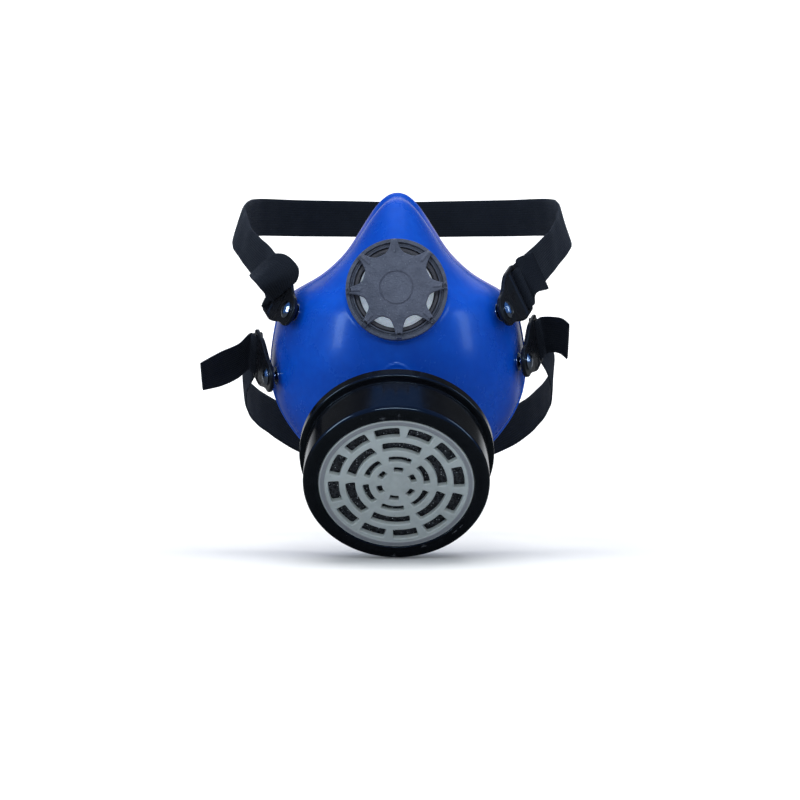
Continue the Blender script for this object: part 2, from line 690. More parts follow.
MAT = {
    "vinyl": vinyl(),
    "cover": moulded("slate_cover", (0.068, 0.077, 0.113), (0.103, 0.115, 0.163), rough=0.38, rough_v=0.22, grain=1300,
                     grain_b=0.9, grain_d=0.00030, wave=320, wave_b=0.16, wear=(0.20, 0.23, 0.29), wear_amt=0.5,
                     specks=(1000, 0.12, 0.32, (0.16, 0.18, 0.23)), tint=(0.75, 0.88, 1.0)),
    "seat": moulded("seat_plastic", (0.048, 0.049, 0.064), (0.070, 0.071, 0.092), rough=0.42, grain=1500, grain_b=0.25),
    "flap": moulded("silicone_grey", (0.72, 0.84, 1.0), (0.82, 0.91, 1.0), glow=0.26, rough=0.42, rough_v=0.15, grain=1300,
                    grain_b=0.22, wave=180, wave_b=0.18, sss=0.15, specks=(900, 0.03, 0.22, (0.45, 0.47, 0.5))),
    "port": moulded("port_plastic", (0.008, 0.008, 0.010), (0.014, 0.014, 0.017), rough=0.32, grain=1200, grain_b=0.2),
    "canister": moulded("gloss_black", (0.0028, 0.0030, 0.0040), (0.0050, 0.0054, 0.0070), rough=0.14, rough_v=0.05,
                        grain=1400, grain_b=0.03, wave=55, wave_b=0.03, coat=0.35, wear=(0.10, 0.11, 0.13), wear_amt=0.7,
                        spec=0.75, tint=(0.50, 0.76, 1.0), specks=(800, 0.012, 0.10, (0.16, 0.17, 0.2))),
    "grille": moulded("grille_grey", (0.40, 0.45, 0.46), (0.48, 0.54, 0.55), rough=0.46, rough_v=0.18, grain=1500,
                      grain_b=0.30, wave=130, wave_b=0.10, wear=(0.66, 0.72, 0.74), wear_amt=0.6,
                      specks=(1100, 0.03, 0.22, (0.17, 0.19, 0.20)), sss=0.05, band=("rim_band", (0.20, 0.21, 0.25), 0.8)),
    "gasket": moulded("nitrile_rubber", (0.012, 0.012, 0.013), (0.02, 0.02, 0.021), rough=0.62, grain=1700, grain_b=0.4),
    "screen": moulded("natural_screen", (0.42, 0.42, 0.40), (0.52, 0.52, 0.50), rough=0.5, grain=1200, grain_b=0.25),
    "carbon": pad_mat("carbon_bed", (0.004, 0.004, 0.005), (0.022, 0.022, 0.025), 1100, 0.04, (0.14, 0.14, 0.15)),
    "paper": moulded("filter_fleece", (0.62, 0.62, 0.58), (0.74, 0.74, 0.70), rough=0.85, rough_v=0.1, grain=2600,
                     grain_b=0.9, grain_d=0.0003, wave=500, wave_b=0.3),
    "pad": pad_mat("prefilter_foam", (0.018, 0.021, 0.026), (0.075, 0.084, 0.10), 1150, 0.24, (0.78, 0.84, 0.90)),
    "chrome": chrome(),
    "washer": moulded("washer_steel", (0.42, 0.42, 0.44), (0.55, 0.55, 0.57), rough=0.30, metallic=1.0, grain=900, grain_b=0.15),
    "tab": moulded("tab_black", (0.0060, 0.0066, 0.0085), (0.0105, 0.0112, 0.0140), rough=0.27, rough_v=0.14, grain=1300,
                   grain_b=0.14, wave=110, wave_b=0.08, wear=(0.06, 0.065, 0.08), wear_amt=0.7, tint=(0.62, 0.82, 1.0)),
    "strap": webbing_mat(),
}

# ------------------------------------------------------------------ facepiece
POLE_Z, DOME_FRONT, WALL, LIP_T, LIP_W = -10.0, -60.0, 2.0, 1.8, 11.0
OUTLINE = [(0, 62.1), (6.2, 59.9), (11, 53.5), (15.8, 46.6), (21.1, 38.4), (29, 29.6), (37.1, 23.1),
           (45, 18.7), (52.4, 14.6), (57, 9.4), (59.3, 2.1), (61.3, -8.6), (62.3, -20.8), (61.2, -31.1),
           (57.9, -40.4), (53.4, -47.9), (48.2, -54.5), (41.5, -61.5), (33, -68), (23, -73.2),
           (12, -76.8), (0, -78.0)]
EDGE = [(-92, -24), (-78, -12), (-62, 3), (-45, 14), (-22, 20), (0, 18), (12, 14), (25, 8), (38, 0),
        (50, -6), (62, -12), (80, -20)]


def cubic(xs, ys):
    xs, ys = np.array(xs, float), np.array(ys, float)
    n = len(xs)
    h = np.diff(xs)
    m = np.zeros((n, n))
    r = np.zeros(n)
    m[0, 0] = m[-1, -1] = 1
    for i in range(1, n - 1):
        m[i, i - 1], m[i, i], m[i, i + 1] = h[i - 1], 2 * (h[i - 1] + h[i]), h[i]
        r[i] = 6 * ((ys[i + 1] - ys[i]) / h[i] - (ys[i] - ys[i - 1]) / h[i - 1])
    s = np.linalg.solve(m, r)

    def f(x):
        x = np.asarray(x, float)
        i = np.clip(np.searchsorted(xs, x) - 1, 0, n - 2)
        a, b = xs[i + 1] - x, x - xs[i]
        return (s[i] * a ** 3 + s[i + 1] * b ** 3) / (6 * h[i]) + (ys[i] / h[i] - s[i] * h[i] / 6) * a \
            + (ys[i + 1] / h[i] - s[i + 1] * h[i] / 6) * b
    return f


edge_y = cubic([p[0] for p in EDGE], [p[1] for p in EDGE])
_phi = np.array([pi / 2 - atan2(z - POLE_Z, x) for x, z in OUTLINE])
_rad = np.array([hypot(x, z - POLE_Z) for x, z in OUTLINE])
_fp = np.concatenate([_phi - 2 * pi, -_phi[::-1][1:], _phi[1:], (2 * pi - _phi[::-1])[1:], (_phi + 2 * pi)[1:]])
_fr = np.concatenate([_rad, _rad[::-1][1:], _rad[1:], _rad[::-1][1:], _rad[1:]])
_o = np.argsort(_fp, kind="stable")
_fp, _fr = _fp[_o], _fr[_o]
_k = np.concatenate([[True], np.diff(_fp) > 1e-9])
_spl = cubic(_fp[_k], _fr[_k])
_t = np.arange(720) * 2 * pi / 720
_v = _spl(np.where(_t > pi, _t - 2 * pi, _t))
TH = np.linspace(-pi, pi, 5761)
_p = pi / 2 - TH
O_TAB = np.full_like(TH, float(np.mean(_v)))
for _i in range(1, 31):
    O_TAB += float(2 * np.mean(_v * np.cos(_i * _t))) * np.exp(-(_i / 22.0) ** 2) * np.cos(_i * _p)
YE_TAB = edge_y(POLE_Z + O_TAB * np.sin(TH))
SL_TAB = np.sqrt(1 + (np.gradient(O_TAB, TH) / O_TAB) ** 2)
YS_TAB = np.sqrt(1 + (np.gradient(YE_TAB, TH) / (O_TAB * SL_TAB)) ** 2)


def dome_parts(p):
    x, y, z = p[:, 0], p[:, 1], p[:, 2] - POLE_Z
    r = np.hypot(x, z)
    th = np.arctan2(z, x)
    o, ye, sl, ys = (np.interp(th, TH, T) for T in (O_TAB, YE_TAB, SL_TAB, YS_TAB))
    return r, th, o, ye, sl, ys, y


def dome_dist(r, th, o, ye, sl, y, extra=0.0):
    """About the distance to the outer dome; extra moves the wall inwards."""
    s = np.clip((ye - y) / (ye - DOME_FRONT), 0, None)
    a = 2.25 - 0.22 * np.sin(th) - 0.5 * np.cos(th) ** 2
    b = 2.25 - 0.22 * np.sin(th) + 0.15 * np.cos(th) ** 2
    w = np.clip(0.8 * np.clip(s, 0, 1.05) ** 2.5, 0, 0.95)
    base = o * (1 - w) + 56.0 * w
    q = np.maximum((r + extra) / base, 1e-6)
    G = q ** b + s ** a - 1
    gr = b * q ** (b - 1) / base * sl
    gs = a * np.maximum(s, 1e-6) ** (a - 1) / (ye - DOME_FRONT)
    return G / np.sqrt(gr ** 2 + gs ** 2 + 1e-7)


def facepiece_field(p):
    r, th, o, ye, sl, ys, y = dome_parts(p)
    t = (ye - y) / ys                                   # distance forward of the sealing edge
    nose = sm((np.sin(th) - 0.25) / 0.5)                 # the flange is wider along the nose
    groove = (1.5 + 0.5 * nose) * np.exp(-((t - 6.4 - 1.2 * nose) / (4.0 + 0.8 * nose)) ** 2)     # trough behind the rolled rim
    D = dome_dist(r, th, o, ye, sl, y, groove * sl)
    Dplain = dome_dist(r, th, o, ye, sl, y)
    br = 1.75 + 0.4 * nose
    bead = np.hypot((r - o) / sl + br, (y - ye) / ys + br - 0.2) - br
    D = smin(D, bead, 1.6)
    vq = VP.local(p)
    cq = CP.local(p)
    vr, cr = np.hypot(vq[:, 0], vq[:, 1]), np.hypot(cq[:, 0], cq[:, 1])
    vb = smax(vr - 22.5, np.abs(vq[:, 2] + 6) - 6, 0.8)
    cb = smax(cr - 29.0, np.abs(cq[:, 2] + 19.5) - 14.5, 1.5)
    D = smin(D, vb, 2.6)
    D = smin(D, cb, 4.0)
    ring = np.hypot(np.hypot(p[:, 0], p[:, 2] + 27.3) - 6.3, Dplain + 0.42) - 0.75
    ring = np.where(y < -40, ring, 9.0)
    D = smin(D, ring, 0.5)
    # clear the snap ring of the cover
    cut = smax(vr - 23.6, np.maximum(0.0 - vq[:, 2], vq[:, 2] - 12), 0.3)
    D = smax(D, -cut, 0.3)
    # behind the sealing edge
    lipc = np.clip((o - r) / LIP_W, 0, 1.3)
    back = (y - (ye - 1.1 * lipc ** 2)) / ys
    D = smax(D, back, 1.3)
    # cavity
    lip_front = (y - (ye - LIP_T - 1.1 * lipc ** 2)) / ys
    cav = smax(dome_dist(r, th, o, ye, sl, y, groove * sl * 0.7) + WALL, lip_front, 1.6)
    open_r = (r - (o - LIP_W - 1.5 * np.clip(np.sin(th), 0, 1) ** 8)) / sl
    bore = smax(open_r, lip_front - 3.0, 0.5)
    opening = smax(open_r, np.maximum(-20 - y, y - 60), 0.5)
    D = smax(D, -smax(opening, t - 9.0, 0.5), 1.2)
    cav = smax(cav, -(vb - 0.0), 0.8)
    cav = smax(cav, -cb, 1.5)
    D = smax(D, -cav, 1.0)
    vbore = smax(vr - 19.2, np.abs(vq[:, 2] + 3) - 12, 0.3)
    D = smax(D, -vbore, 0.6)
    hollow = smax(cr - 26.5, np.abs(cq[:, 2] + 25) - 15, 0.5)
    hole = smax(cr - 22.8, np.abs(cq[:, 2] + 8) - 6, 0.3)
    D = smax(D, -hollow, 0.8)
    D = smax(D, -hole, 0.6)
    for tname in TABS:
        b = STUD[tname]
        d = p - b.o
        near = (np.abs(d) < 9).all(1)
        if near.any():
            l = b.local(p[near])
            lr = np.hypot(l[:, 0], l[:, 1])
            h = smax(lr - 2.15, np.abs(l[:, 2]) - 8, 0.2)
            dd = D[near]
            dd = smax(dd, -h, 0.35)
            D[near] = dd
    return D


H_FACE = 0.85
lo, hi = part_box("facepiece")
lo, hi = np.array(lo) / MM - 2.5, np.array(hi) / MM + 2.5
V, Q, N = field_mesh(facepiece_field, lo, hi, H_FACE, iters=4, e=0.05)
_r, _th, _oo, _ye, _sl, _ys, _y = dome_parts(V)
rim = np.exp(-(np.hypot((_r - (_oo - 1.0)) / _sl, (_y - (_ye - 2.0)) / _ys) / (2.2 + 1.2 * sm((44 - V[:, 2]) / 16))) ** 2) * sm((np.abs(V[:, 0]) - 8) / 9) * sm((V[:, 2] - 4) / 10) * (0.72 + 0.28 * sm((V[:, 0] + 5) / 10))
face = make_mesh("facepiece_shell", V, [Q], normals=N, mat=MAT["vinyl"], body=BODY_OF["facepiece"],
                 slot="facepiece_vinyl", replaces=["facepiece"], attrs={"rim": rim})

# ------------------------------------------------------------------ exhalation valve
STAR_IN, STAR_TIP, TIP_HALF = 15.2, 22.3, 2.8
star = []
for k in range(8):
    a0 = 93.0 + 45 * k
    inn = STAR_IN + 1.2 * sin(radians(a0 + 22.5))        # the openings are deeper on the lower side
    star.append((STAR_TIP, a0 - TIP_HALF))
    star.append((STAR_TIP, a0 + TIP_HALF))
    for j in range(1, 17):
        t = j / 17
        f = abs(2 * t - 1)
        star.append((inn + (STAR_TIP - inn) * f ** 3.4, a0 + TIP_HALF + (45 - 2 * TIP_HALF) * t))
star_xy = [(r * cos(radians(a)), r * sin(radians(a))) for r, a in star]
star_f = poly_field(star_xy, (-25, -25), (25, 25), 0.12)
ring_poly = [(23.0, 0.2), (23.0, 4.6), (21.35, 4.6), (21.15, 3.0), (20.35, 3.0), (20.2, 3.75), (19.4, 3.75),
             (19.4, 1.6), (20.6, 1.6), (21.6, 1.35), (21.6, 0.2)]
ring_f = poly_field(ring_poly, (17, -2), (26, 8), 0.05)


def cover_field(p):
    r = np.hypot(p[:, 0], p[:, 1])
    q = p[:, 2]
    ringd = ring_f(np.clip(r, 17, 26), np.clip(q, -2, 8)) + np.maximum(17 - r, 0) + np.maximum(r - 26, 0)
    # the star plate is a little dished, with a plain raised boss in the middle
    top = 8.2 - 0.35 * sm((r - 9) / 12) + 0.0 * r
    bot = 6.4 + 0.0 * r
    d2 = star_f(p[:, 0], p[:, 1])
    slab = np.maximum(q - top, bot - q)
    st = smax(d2, slab, 0.55)
    groove = np.hypot(r - 7.4, q - top) - 0.34
    st = smax(st, -groove, 0.3)
    a = np.degrees(np.arctan2(p[:, 1], p[:, 0]))
    am = np.radians((a - 93.0 + 22.5) % 45 - 22.5)
    lx, ly = r * np.cos(am), r * np.sin(am)
    leg = smax(smax(np.abs(lx - 21.7) - 0.85, np.abs(ly) - 1.15, 0.4), np.abs(q - 5.4) - 2.1, 0.4)
    rib = smax(smax(np.abs(lx - 19.2) - 2.8, np.abs(ly) - 0.45, 0.3), np.abs(q - 8.05) - 0.22, 0.2)
    d = smin(ringd, leg, 0.5)
    d = smin(smin(d, st, 0.5), rib, 0.5)
    lower = (a > -185) & (a < 12) | (a > 172)
    pit = smax(np.hypot(lx - 21.35, ly * 0.85) - 1.0, np.abs(q - 8.3) - 2.4, 0.25)
    pit = np.where(lower, pit, 9.0)
    return smax(d, -pit, 0.3)


V, Q, N = field_mesh(cover_field, (-24, -24, -0.6), (24, 24, 9.2), 0.3, iters=3, e=0.03)
make_mesh("valve_cover_star", VP.world(V), [Q], normals=VP.turn(N), mat=MAT["cover"], body=BODY_OF["exhalation_valve_cover"],
          slot="cover_plastic", replaces=["exhalation_valve_cover"])

lathe("exhalation_flap_disc", VP,
      [(0, -7.5, 0), (1.2, -7.5, 0.3), (1.2, -1.4, 0.3), (3.2, -1.4, 0.1), (16.2, -1.3, 0.1), (16.9, -1.2, 0.2), (16.9, -0.75, 0.2),
       (15.6, -0.62, 0.3), (14.6, -0.82, 0.5), (13.4, -0.6, 0.5), (4.6, -0.72, 0.5), (3.4, -0.6, 0.3), (0, -0.6, 0)],
      closed=False, n=128, mat=MAT["flap"], body=BODY_OF["exhalation_flap"], slot="silicone_grey", replaces=["exhalation_flap"])

# ------------------------------------------------------------------ canister
lathe("canister_shell_moulding", CP,
      [(41.5, 5.05, 0.25), (41.5, 6.6, 0.12), (41.22, 6.75, 0.1), (41.22, 7.15, 0.1), (41.5, 7.3, 0.12),
       (41.5, 27.0, 2.5), (37.0, 27.0, 0.3), (36.6, 26.82, 0.15), (34.9, 26.82, 0.3), (34.75, 26.6, 0.15), (34.75, 25.05, 0.3),
       (39.45, 25.05, 0.3), (39.45, 5.05, 0.3)],
      n=200, seg=10, step=1.2, mat=MAT["canister"], body=BODY_OF["canister_shell"], slot="canister_plastic", replaces=["canister_shell"])
lathe("canister_base_moulding", CP,
      [(19.9, -10.0, 0.5), (19.9, -9.0, 0.1), (19.9, -0.05, 0.35), (43.4, 0.0, 0.0), (44.0, 0.0, 1.0), (44.0, 5.0, 0.9),
       (39.3, 5.0, 0.15), (39.2, 2.25, 0.1), (38.85, 2.2, 0.1), (38.8, 9.0, 0.4), (36.8, 9.0, 0.4), (36.8, 2.2, 0.4), (16.5, 2.2, 0.4),
       (16.5, -10.0, 0.4)],
      n=200, seg=8, step=1.2, mat=MAT["canister"], body=BODY_OF["canister_base"], slot="canister_plastic", replaces=["canister_base"])

GR = 34.4
G0, G1 = 24.8, 26.8


def grille_field(p):
    x, y, q = p[:, 0], p[:, 1], p[:, 2]
    r = np.hypot(x, y)
    a = np.degrees(np.arctan2(y, x))
    # rim stands a little above the face
    top = 26.45 + 0.35 * sm((r - 31.6) / 0.7) - 0.25 * sm((31.6 - r) / 30)
    d = smax(r - GR, np.maximum(q - top, 23.45 - q), 0.45)
    back = smax(r - 38.0, np.abs(q - 24.1) - 0.7, 0.3)
    d = smin(d, back, 0.2)

    def slots(r0, r1, mid, width, per, k):
        am = np.radians((a - mid + per / 2) % per - per / 2)
        da = np.abs(am) * r - np.radians(width / 2) * (r0 + r1) / 2 * (0.5 + 0.5 * r / ((r0 + r1) / 2))
        dr = np.abs(r - (r0 + r1) / 2) - (r1 - r0) / 2
        return smax(dr, da, k)
    cut = slots(0.74 * GR, 0.88 * GR, 8, 22.6, 30, 0.9)
    cut = np.minimum(cut, slots(0.53 * GR, 0.655 * GR, 22.5, 49, 60, 0.9))
    cut = np.minimum(cut, slots(0.355 * GR, 0.435 * GR, 22.5, 43, 60, 0.7))
    cut = np.minimum(cut, slots(0.19 * GR, 0.265 * GR, 22.5, 30, 60, 0.6))
    return smax(d, -cut, 0.55)


V, Q, N = field_mesh(grille_field, (-39, -39, 22.6), (39, 39, 27.6), 0.4, iters=3, e=0.03)
_gr = np.hypot(V[:, 0], V[:, 1])
make_mesh("grille_moulding", CP.world(V), [Q], normals=CP.turn(N), mat=MAT["grille"], body=BODY_OF["front_grille"],
          slot="grille_plastic", replaces=["front_grille"],
          attrs={"rim_band": sm((_gr - 31.7) / 0.5) * (1 - sm((_gr - 33.7) / 0.4))})


def hash_noise(x, y, seed):
    """Smooth value noise on a plane, repeatable."""
    rs = np.random.RandomState(seed)
    T = rs.rand(256, 256)
    i, j = np.floor(x).astype(int), np.floor(y).astype(int)
    u, v = sm(x - i), sm(y - j)
    a, b = T[i % 256, j % 256], T[(i + 1) % 256, j % 256]
    c, d = T[i % 256, (j + 1) % 256], T[(i + 1) % 256, (j + 1) % 256]
    return (a * (1 - u) + b * u) * (1 - v) + (c * (1 - u) + d * u) * v


def pad(name, r_out, q0, q1, node, mat, slot, amp, cell, nr=90, nt=320):
    """Round soft pad with a rough, granular face and soft edges."""
    pts, nrm = rounded([(0, q0, 0), (r_out, q0, 0.9), (r_out, q1, 0.9), (0, q1, 0)], closed=False, seg=6)
    pts, nrm = densify(pts, nrm, r_out / nr, False)
    keep = pts[:, 0] > 1e-6
    pts, nrm = pts[keep], nrm[keep]
    m = len(pts)
    th = 2 * pi * np.arange(nt) / nt
    P = np.stack([np.outer(np.cos(th), pts[:, 0]), np.outer(np.sin(th), pts[:, 0]), np.tile(pts[:, 1], (nt, 1))], -1)
    Nn = np.stack([np.outer(np.cos(th), nrm[:, 0]), np.outer(np.sin(th), nrm[:, 0]), np.tile(nrm[:, 1], (nt, 1))], -1)
    g = hash_noise(P[..., 0] / cell + 50 + P[..., 2], P[..., 1] / cell + 50, 3) + 0.6 * hash_noise(P[..., 0] / cell * 2.3 + 90, P[..., 1] / cell * 2.3 + 40 + P[..., 2], 8)
    P = P + Nn * ((g / 1.6 - 1.0) * amp)[..., None]
    Vv = P.reshape(-1, 3)
    c0, c1 = len(Vv), len(Vv) + 1
    Vv = np.concatenate([Vv, [[0, 0, q0 + amp * 0.5], [0, 0, q1 - amp * 0.5]]])
    F = grid_polys(nt, m, True, False)[:, ::-1]
    ring0, ring1 = np.arange(nt) * m, np.arange(nt) * m + m - 1
    T = np.concatenate([np.stack([np.roll(ring0, -1), ring0, np.full(nt, c0)], -1), np.stack([ring1, np.roll(ring1, -1), np.full(nt, c1)], -1)])
    Nf = np.concatenate([Nn.reshape(-1, 3), [[0, 0, -1], [0, 0, 1]]])
    return make_mesh(name, CP.world(Vv), [orient(Vv, F, Nf), orient(Vv, T, Nf)], mat=mat, body=BODY_OF[node], slot=slot, replaces=[node])


pad("prefilter_disc", 38.1, 19.25, 22.8, "prefilter_pad", MAT["pad"], "prefilter_foam", 0.45, 0.75, nr=110, nt=420)
pad("particulate_fleece", 38.1, 15.05, 18.75, "particulate_filter", MAT["paper"], "filter_paper", 0.25, 1.6, nr=50, nt=160)
pad("carbon_granule_bed", 36.3, 4.45, 14.55, "carbon_bed", MAT["carbon"], "carbon", 0.35, 1.0, nr=60, nt=200)

# ------------------------------------------------------------------ snap studs, caps and tabs
parts = []
for t in TABS:
    b = STUD[t]
    parts.append(lathe_arrays(b, [(0, -4.2, 0), (1.85, -4.2, 0.35), (1.85, 0.1, 0.1), (4.2, 0.1, 0.2), (4.2, 0.75, 0.3),
                                  (2.6, 0.9, 0.5), (1.85, 1.5, 0.4), (1.85, 3.6, 0.3), (1.55, 3.9, 0.2), (1.55, 4.4, 0.2),
                                  (1.85, 4.7, 0.2), (1.85, 5.15, 0.3), (0, 5.15, 0)], closed=False, n=48, seg=5))
v, p, nn = join_arrays(parts)
make_mesh("snap_stud_set", v, p, normals=nn, mat=MAT["chrome"], body=BODY_OF["snap_studs"], slot="stud_chrome", replaces=["snap_studs"])

TAB_OUT = []
for k in range(25):
    a = radians(90 + 180 * k / 24)
    TAB_OUT.append((-0.3 + 7.4 * cos(a), 7.4 * sin(a)))
# the sides sweep out from the snap end to the bar end
for u in np.linspace(0, 1, 9)[1:]:
    TAB_OUT.append((-0.3 + 16.3 * u, -(7.4 + 4.9 * float(sm(u)))))
TAB_OUT += [(25.0, -12.3), (26.2, -12.0), (26.9, -11.2), (27.0, -10.2), (27.0, 10.2), (26.9, 11.2), (26.2, 12.0), (25.0, 12.3)]
for u in np.linspace(1, 0, 9)[:-1]:
    TAB_OUT.append((-0.3 + 16.3 * u, 7.4 + 4.9 * float(sm(u))))
tab_f = poly_field(TAB_OUT, (-12, -16), (32, 16), 0.1)


def tab_field(p):
    x, y, q = p[:, 0], p[:, 1], p[:, 2]
    d2 = tab_f(x, y)
    top = 5.2 - 0.35 * sm((-d2 - 1.2) / 0.6) * sm((x - 8) / 2) * sm((19 - x) / 2)
    d = smax(d2, np.maximum(q - top, 3.2 - q), 0.75)
    slot = smax(np.abs(x - 22.0) - 1.5, np.abs(y) - 10.6, 1.2)
    d = smax(d, -slot, 0.7)
    hole = np.hypot(x, y) - 2.2
    d = smax(d, -hole, 0.3)
    return d


V, Q, N = field_mesh(tab_field, (-9.5, -14, 2.4), (29, 14, 6.0), 0.4, iters=3, e=0.03)
for t in TABS:
    b = STUD[t]
    make_mesh("tab_plate_" + t, b.world(V), [Q], normals=b.turn(N), mat=MAT["tab"], body=BODY_OF["strap_tab_" + t],
              slot="tab_plastic", replaces=["strap_tab_" + t])
    lathe("cap_dome_" + t, b,
          [(0, 5.27, 0), (3.85, 5.27, 0.2), (4.1, 5.4, 0.2), (4.1, 5.75, 0.25), (3.75, 6.0, 0.4), (2.7, 6.62, 1.6), (1.4, 7.05, 2.0), (0, 7.15, 0)],
          closed=False, n=64, seg=8, mat=MAT["chrome"], body=BODY_OF["snap_cap_" + t], slot="stud_chrome", replaces=["snap_cap_" + t])

# ------------------------------------------------------------------ straps
STRAP_W, STRAP_T, RIBS = 20.0, 1.5, 16


def catmull(C, N, step):
    P = [np.array(c, float) for c in C]
    P = [2 * P[0] - P[1]] + P + [2 * P[-1] - P[-2]]
    NN = [np.array(N[0], float)] + [np.array(n, float) for n in N] + [np.array(N[-1], float)]
    pts, nrm = [], []
    for i in range(1, len(P) - 2):
        m = max(2, int(round(np.linalg.norm(P[i + 1] - P[i]) / step)))
        for j in range(m if i < len(P) - 3 else m + 1):
            t = j / m
            w = (0.5 * (-t + 2 * t * t - t ** 3), 0.5 * (2 - 5 * t * t + 3 * t ** 3),
                 0.5 * (t + 4 * t * t - 3 * t ** 3), 0.5 * (t ** 3 - t * t))
            pts.append(sum(w[a] * P[i - 1 + a] for a in range(4)))
            nrm.append(unit(NN[i] * (1 - t) + NN[i + 1] * t))
    return pts, nrm


def tab_pt(t, u, v, h):
    b = STUD[t]
    return b.world(np.array([u, v, h], float))


UPPER_BACK = [((0, 167, 64), (0, 1, 0))]
LOWER_BACK = [((0, 121, -64), (0, 1, 0))]


def upper_side(s, shift):
    return [((s * 66 + shift, 18, 28), (s * 0.92, -0.36, 0.1)),
            ((s * 76 + shift, 38, 38.7), (s * 0.91, -0.41, 0.0)),
            ((s * 82.5 + shift, 60, 49.5), (s * 0.93, -0.1, 0.34)),
            ((s * 83.5 + shift, 86, 56.5), (s * 0.95, 0.08, 0.3)),
            ((s * 77 + shift, 118, 61), (s * 0.86, 0.5, 0.12)),
            ((s * 58 + shift * 0.8, 146, 63), (s * 0.55, 0.83, 0.05)),
            ((s * 30 + shift * 0.4, 162, 64), (s * 0.26, 0.96, 0))]


def lower_side(s, shift, dz):
    return [((s * 75.5 + shift, 30, -19 + dz), (s * 0.97, 0.0, -0.1)),
            ((s * 76.5 + shift, 58, -32 + dz * 0.5), (s * 0.93, 0.28, -0.2)),
            ((s * 67.5 + shift, 85, -45), (s * 0.78, 0.58, -0.22)),
            ((s * 49 + shift * 0.7, 106, -56), (s * 0.5, 0.85, -0.15)),
            ((s * 26 + shift * 0.4, 117, -62), (s * 0.24, 0.97, -0.05))]


TAILS = {
    "upper_right": [((65.5, -4.6, 12.2), (56.2, -9.6, 28.6)),
                    ((72.5, 3, 16.5), (64.1, -3, 33.8))],
    "upper_left": [((-60.2, -12, 10.4), (-46.4, -32, 18.8)),
                   ((-63.9, -20, 14.8), (-45.8, -34, 24.2)),
                   ((-66.9, -18, 18.2), (-50.3, -29, 29.7)),
                   ((-69.4, -9, 20.6), (-56.3, -22, 31.8)),
                   ((-71.1, 0, 22.5), (-61.2, -14, 30.7))],
    "lower_right": [((75.3, 12, -13.7), (75.2, 3, 3.0)),
                    ((79.1, 10, -14.7), (79.3, 0, 1.9)),
                    ((81.8, 8, -17.2), (82.0, -2, -0.6))],
    "lower_left": [((-77.8, 13, -26.3), (-76.0, 3, -9.6)),
                   ((-85.3, 10, -30.0), (-84.8, -2, -14.0)),
                   ((-94.1, 6, -32.2), (-93.7, -9, -19.4))],
}


def half_strap(t):
    """Edge pairs from the middle of the back, along the head, through the tab and out to the free end."""
    s = -1 if t.endswith("left") else 1
    other = t.replace("left", "X").replace("right", "left").replace("X", "right")
    if t.startswith("upper"):
        mine, theirs, back = upper_side(s, 1.5), upper_side(-s, 1.5), UPPER_BACK
    else:
        dz = -6.5 if s < 0 else 0
        mine, theirs, back = lower_side(s, 0, dz), lower_side(-s, 0, 0 if s < 0 else -6.5), LOWER_BACK
    full = [(tab_pt(other, 29, 0, 2.15), STUD[other].z)] + theirs + back + mine[::-1] + [(tab_pt(t, 29, 0, 2.15), STUD[t].z)]
    pts, nrm = catmull([f[0] for f in full], [f[1] for f in full], 6.0)
    # start at the back middle
    k0 = min(range(len(pts)), key=lambda i: np.linalg.norm(pts[i] - np.array(back[0][0])))
    b = STUD[t]
    up = -1 if np.cross(b.z, b.x)[2] < 0 else 1
    A, B = [], []
    for i in range(k0, len(pts)):
        a_, b_ = pts[max(0, i - 1)], pts[min(len(pts) - 1, i + 1)]
        tt = unit(b_ - a_)
        w = unit(np.cross(tt, nrm[i]))
        if w[2] < 0:
            w = -w
        A.append(pts[i] - w * STRAP_W / 2)
        B.append(pts[i] + w * STRAP_W / 2)
    path = [(27.0, 2.15), (24.15, 2.15)]
    turn = 8 if t != "upper_left" else 4
    for k in range(1, turn + 1):
        a = radians(270 - 180 * k / 8)
        path.append((24.15 + 2.05 * cos(a), 4.2 + 2.05 * sin(a)))
    path.append((26.5, 6.7) if t != "upper_left" else (21.8, 6.6))
    wu = 1 if (B[-1] - A[-1]) @ b.y > 0 else -1
    for u, h in path:
        A.append(tab_pt(t, u, -10 * wu, h))
        B.append(tab_pt(t, u, 10 * wu, h))
    lead = len(A)
    for lo_, up_ in TAILS[t]:
        A.append(np.array(lo_, float))
        B.append(np.array(up_, float))
    return np.array(A), np.array(B), lead


def spline_rows(P, step):
    """Centripetal-like resampling by arc length with Catmull-Rom on each coordinate."""
    C = P.mean(1) if P.ndim == 3 else P
    d = np.concatenate([[0], np.cumsum(np.linalg.norm(np.diff(C, axis=0), axis=1))])
    n = int(d[-1] / step) + 1
    s = np.linspace(0, d[-1], n)
    out = np.zeros((n,) + P.shape[1:])
    flat = P.reshape(len(P), -1)
    res = np.zeros((n, flat.shape[1]))
    # tangents by finite differences on non-uniform knots (keeps tight turns tidy)
    tan = np.zeros_like(flat)
    for i in range(len(P)):
        if i == 0:
            tan[i] = (flat[1] - flat[0]) / (d[1] - d[0])
        elif i == len(P) - 1:
            tan[i] = (flat[-1] - flat[-2]) / (d[-1] - d[-2])
        else:
            h0, h1 = d[i] - d[i - 1], d[i + 1] - d[i]
            s0, s1 = (flat[i] - flat[i - 1]) / h0, (flat[i + 1] - flat[i]) / h1
            tan[i] = (s0 * h1 + s1 * h0) / (h0 + h1)
    k = np.clip(np.searchsorted(d, s, side="right") - 1, 0, len(P) - 2)
    h = d[k + 1] - d[k]
    u = ((s - d[k]) / h)[:, None]
    h = h[:, None]
    res = (2 * u ** 3 - 3 * u ** 2 + 1) * flat[k] + (u ** 3 - 2 * u ** 2 + u) * h * tan[k] \
        + (-2 * u ** 3 + 3 * u ** 2) * flat[k + 1] + (u ** 3 - u ** 2) * h * tan[k + 1]
    return res.reshape(out.shape), s


